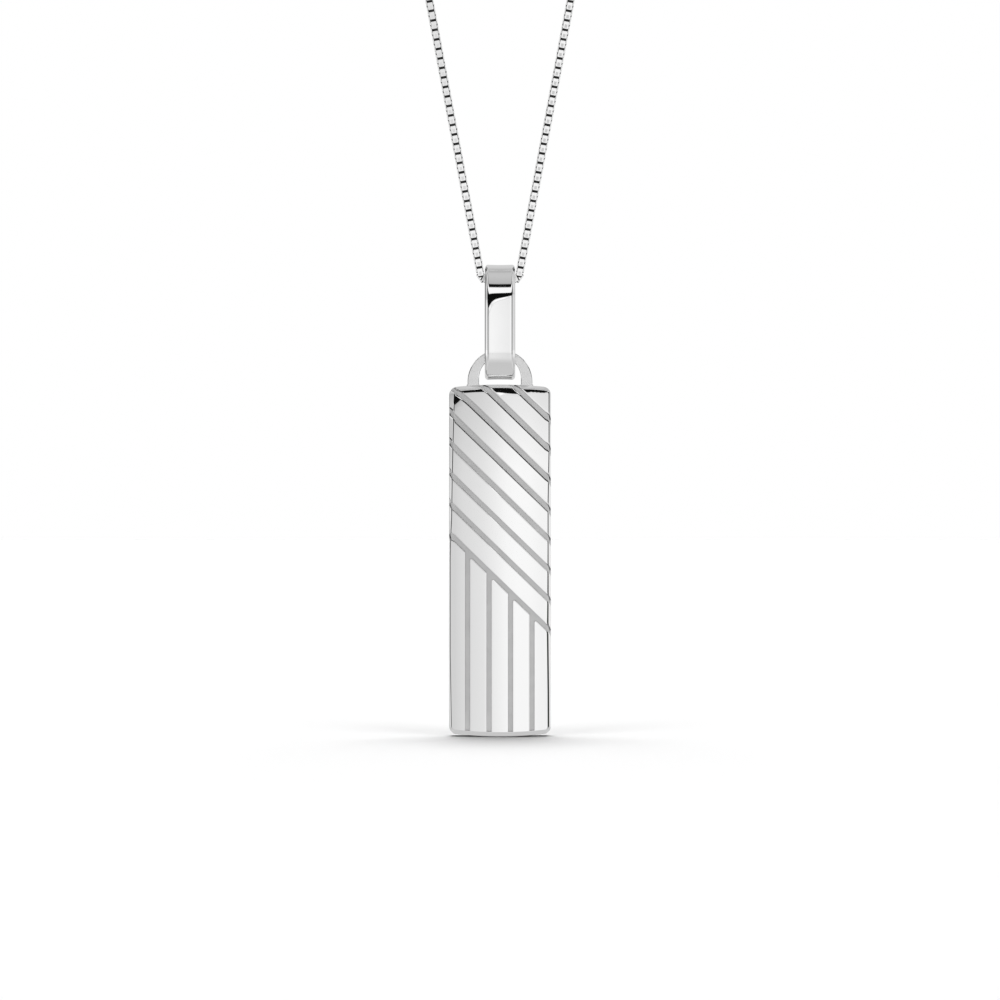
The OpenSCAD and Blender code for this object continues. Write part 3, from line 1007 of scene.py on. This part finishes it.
# How the tone by azimuth darkens with elevation
DIMMING = [(-90, 0.85), (-12, 0.85), (-5.5, 0.97), (0.6, 1), (0.9, 0.98), (1.2, 0.94),
           (1.5, 0.89), (1.8, 0.84), (2.1, 0.81), (10, 0.8), (20, 1), (90, 1)]
# A small bright lamp just above the camera
LAMP_ACROSS = [(-180, 0), (-5, 0), (-3.5, 1), (3.5, 1), (5, 0), (180, 0)]
LAMP_UP = [(-90, 0), (3, 0), (3.8, 1), (10.2, 1), (10.6, 0), (90, 0)]
# Behind, tone by elevation
BACK = [(-90, 0.58), (-70, 0.58), (-62, 0.4), (-56, 0.05), (-40, 0.02), (-34, 0.3), (-28, 0.5), (-12, 0.6),
        (0, 0.7), (20, 0.66), (52, 0.65), (66, 0.61), (80, 0.49), (90, 0.47)]
# Shares of the front and of the back by azimuth; between them the tone is the one by azimuth
IS_FRONT = [(-180, 0), (-112, 0), (-98, 1), (98, 1), (112, 0), (180, 0)]
IS_BACK = [(-180, 1), (-160, 1), (-140, 0), (140, 0), (160, 1), (180, 1)]
FLOOR_FILL = 0.0
# Lights over the floor: share, tilt from straight above, azimuth from behind and width, in degrees
OVERHEAD = [(0.27, 18, 0, 16), (0.085, 24, 135, 16), (0.085, 24, -135, 16), (0.125, 18, 45, 16),
            (0.125, 18, -45, 16), (0.064, 32, 45, 40), (0.064, 32, -45, 40), (0.04, 32, 135, 24),
            (0.04, 32, -135, 24), (0.055, 18, 90, 24), (0.055, 18, -90, 24)]
OVERHEAD_STRENGTH = 3.43


def build_world():
    """Grey panels and dark bands for what the silver mirrors, plain white for the camera, and FLOOR_FILL for
    light that has left a matt surface such as the floor."""
    world = bpy.data.worlds.new("studio")
    bpy.context.scene.world = world
    world.use_nodes = True
    tree = world.node_tree
    tree.nodes.clear()
    place = tree.nodes.new("ShaderNodeTexCoord")
    split = tree.nodes.new("ShaderNodeSeparateXYZ")
    tree.links.new(place.outputs["Generated"], split.inputs["Vector"])
    toward = math_node(tree, "MULTIPLY", split.outputs["Y"], -1.0)
    azimuth = math_node(tree, "ARCTAN2", split.outputs["X"], toward)
    azimuth = math_node(tree, "MULTIPLY_ADD", azimuth, 0.5 / math.pi, 0.5)
    elevation = math_node(tree, "ARCSINE", split.outputs["Z"])
    elevation = math_node(tree, "MULTIPLY_ADD", elevation, 1 / math.pi, 0.5)

    def by_azimuth(stops):
        return ramp(tree, azimuth, turn_stops(stops, 180))

    def by_elevation(stops):
        return ramp(tree, elevation, turn_stops(stops, 90))

    dimmed = multiply_colors(tree, by_azimuth(AROUND), by_elevation(DIMMING))
    lamp = multiply_colors(tree, by_azimuth(LAMP_ACROSS), by_elevation(LAMP_UP))
    dimmed = mix_colors(tree, lamp, dimmed, 1.05)
    around = mix_colors(tree, by_elevation(LEVEL_SHARE), by_azimuth(SOFT), dimmed)
    front = mix_colors(tree, by_elevation(FRONT_SHARE), around, by_elevation(FRONT))
    rest = mix_colors(tree, by_azimuth(IS_BACK), around, by_elevation(BACK))
    mirrored = mix_colors(tree, by_azimuth(IS_FRONT), rest, front)
    ray = tree.nodes.new("ShaderNodeLightPath")
    past_floor = math_node(tree, "GREATER_THAN", ray.outputs["Diffuse Depth"], 0.5)
    color = mix_colors(tree, past_floor, mirrored, FLOOR_FILL)
    color = mix_colors(tree, ray.outputs["Is Camera Ray"], color, 1.0)
    background = tree.nodes.new("ShaderNodeBackground")
    output = tree.nodes.new("ShaderNodeOutputWorld")
    tree.links.new(color, background.inputs["Color"])
    tree.links.new(background.outputs["Background"], output.inputs["Surface"])


def build_overhead():
    """Soft lights overhead, tilted from several sides, which only the floor sees."""
    for number, (share, tilt, azimuth, angle) in enumerate(OVERHEAD):
        data = bpy.data.lights.new("overhead_%d" % number, "SUN")
        data.energy = OVERHEAD_STRENGTH * share / math.cos(math.radians(tilt))
        data.angle = math.radians(angle)
        light = bpy.data.objects.new(data.name, data)
        light.rotation_euler = (-math.radians(tilt), 0, math.radians(azimuth))
        light.visible_glossy = False
        bpy.context.scene.collection.objects.link(light)


def build_floor():
    """A plain pale floor just under the hanging bar, which the silver doesn't mirror."""
    size = 1.5
    z = (BAR_LOW[2] - 0.03) * MM
    mesh = bpy.data.meshes.new("floor")
    corners = [(-size, -size, z), (size, -size, z), (size, size, z), (-size, size, z)]
    mesh.from_pydata(corners, [], [(0, 1, 2, 3)])
    material, _, shader = new_material("floor_white")
    shader.inputs["Base Color"].default_value = (0.92, 0.92, 0.92, 1)
    shader.inputs["Roughness"].default_value = 1.0
    shader.inputs["Specular IOR Level"].default_value = 0.0
    mesh.materials.append(material)
    floor = bpy.data.objects.new("floor", mesh)
    floor.visible_glossy = False
    bpy.context.scene.collection.objects.link(floor)


def build_camera():
    """A level camera in front, whose picture is 100 mm wide at the pendant."""
    distance = 301
    view_width = 100 * distance / 300
    centre_z = CHAIN_Z - 21.95
    data = bpy.data.cameras.new("camera")
    data.sensor_width = 36
    data.lens = data.sensor_width * distance / view_width
    data.clip_start = 0.01
    camera = bpy.data.objects.new("camera", data)
    camera.location = (0.0, -distance * MM, centre_z * MM)
    camera.rotation_euler = (math.pi / 2, 0, 0)
    bpy.context.scene.collection.objects.link(camera)
    bpy.context.scene.camera = camera


build_camera()
build_world()
build_overhead()
build_floor()

bar = build_bar()
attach(bar, "bar")
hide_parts("bar")

eye = build_eye()
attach(eye, "bar")

bail = build_bail()
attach(bail, "bail")
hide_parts("bail")

for node, side, first_link in (("chain_right", 1, 0), ("chain_left", -1, 1)):
    chain = build_chain(node.replace("chain", "links"), side, first_link)
    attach(chain, "chain")
    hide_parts(node)

clasp = build_clasp()
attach(clasp, "chain")
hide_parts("clasp")

scene = bpy.context.scene
scene.view_settings.view_transform = "Standard"
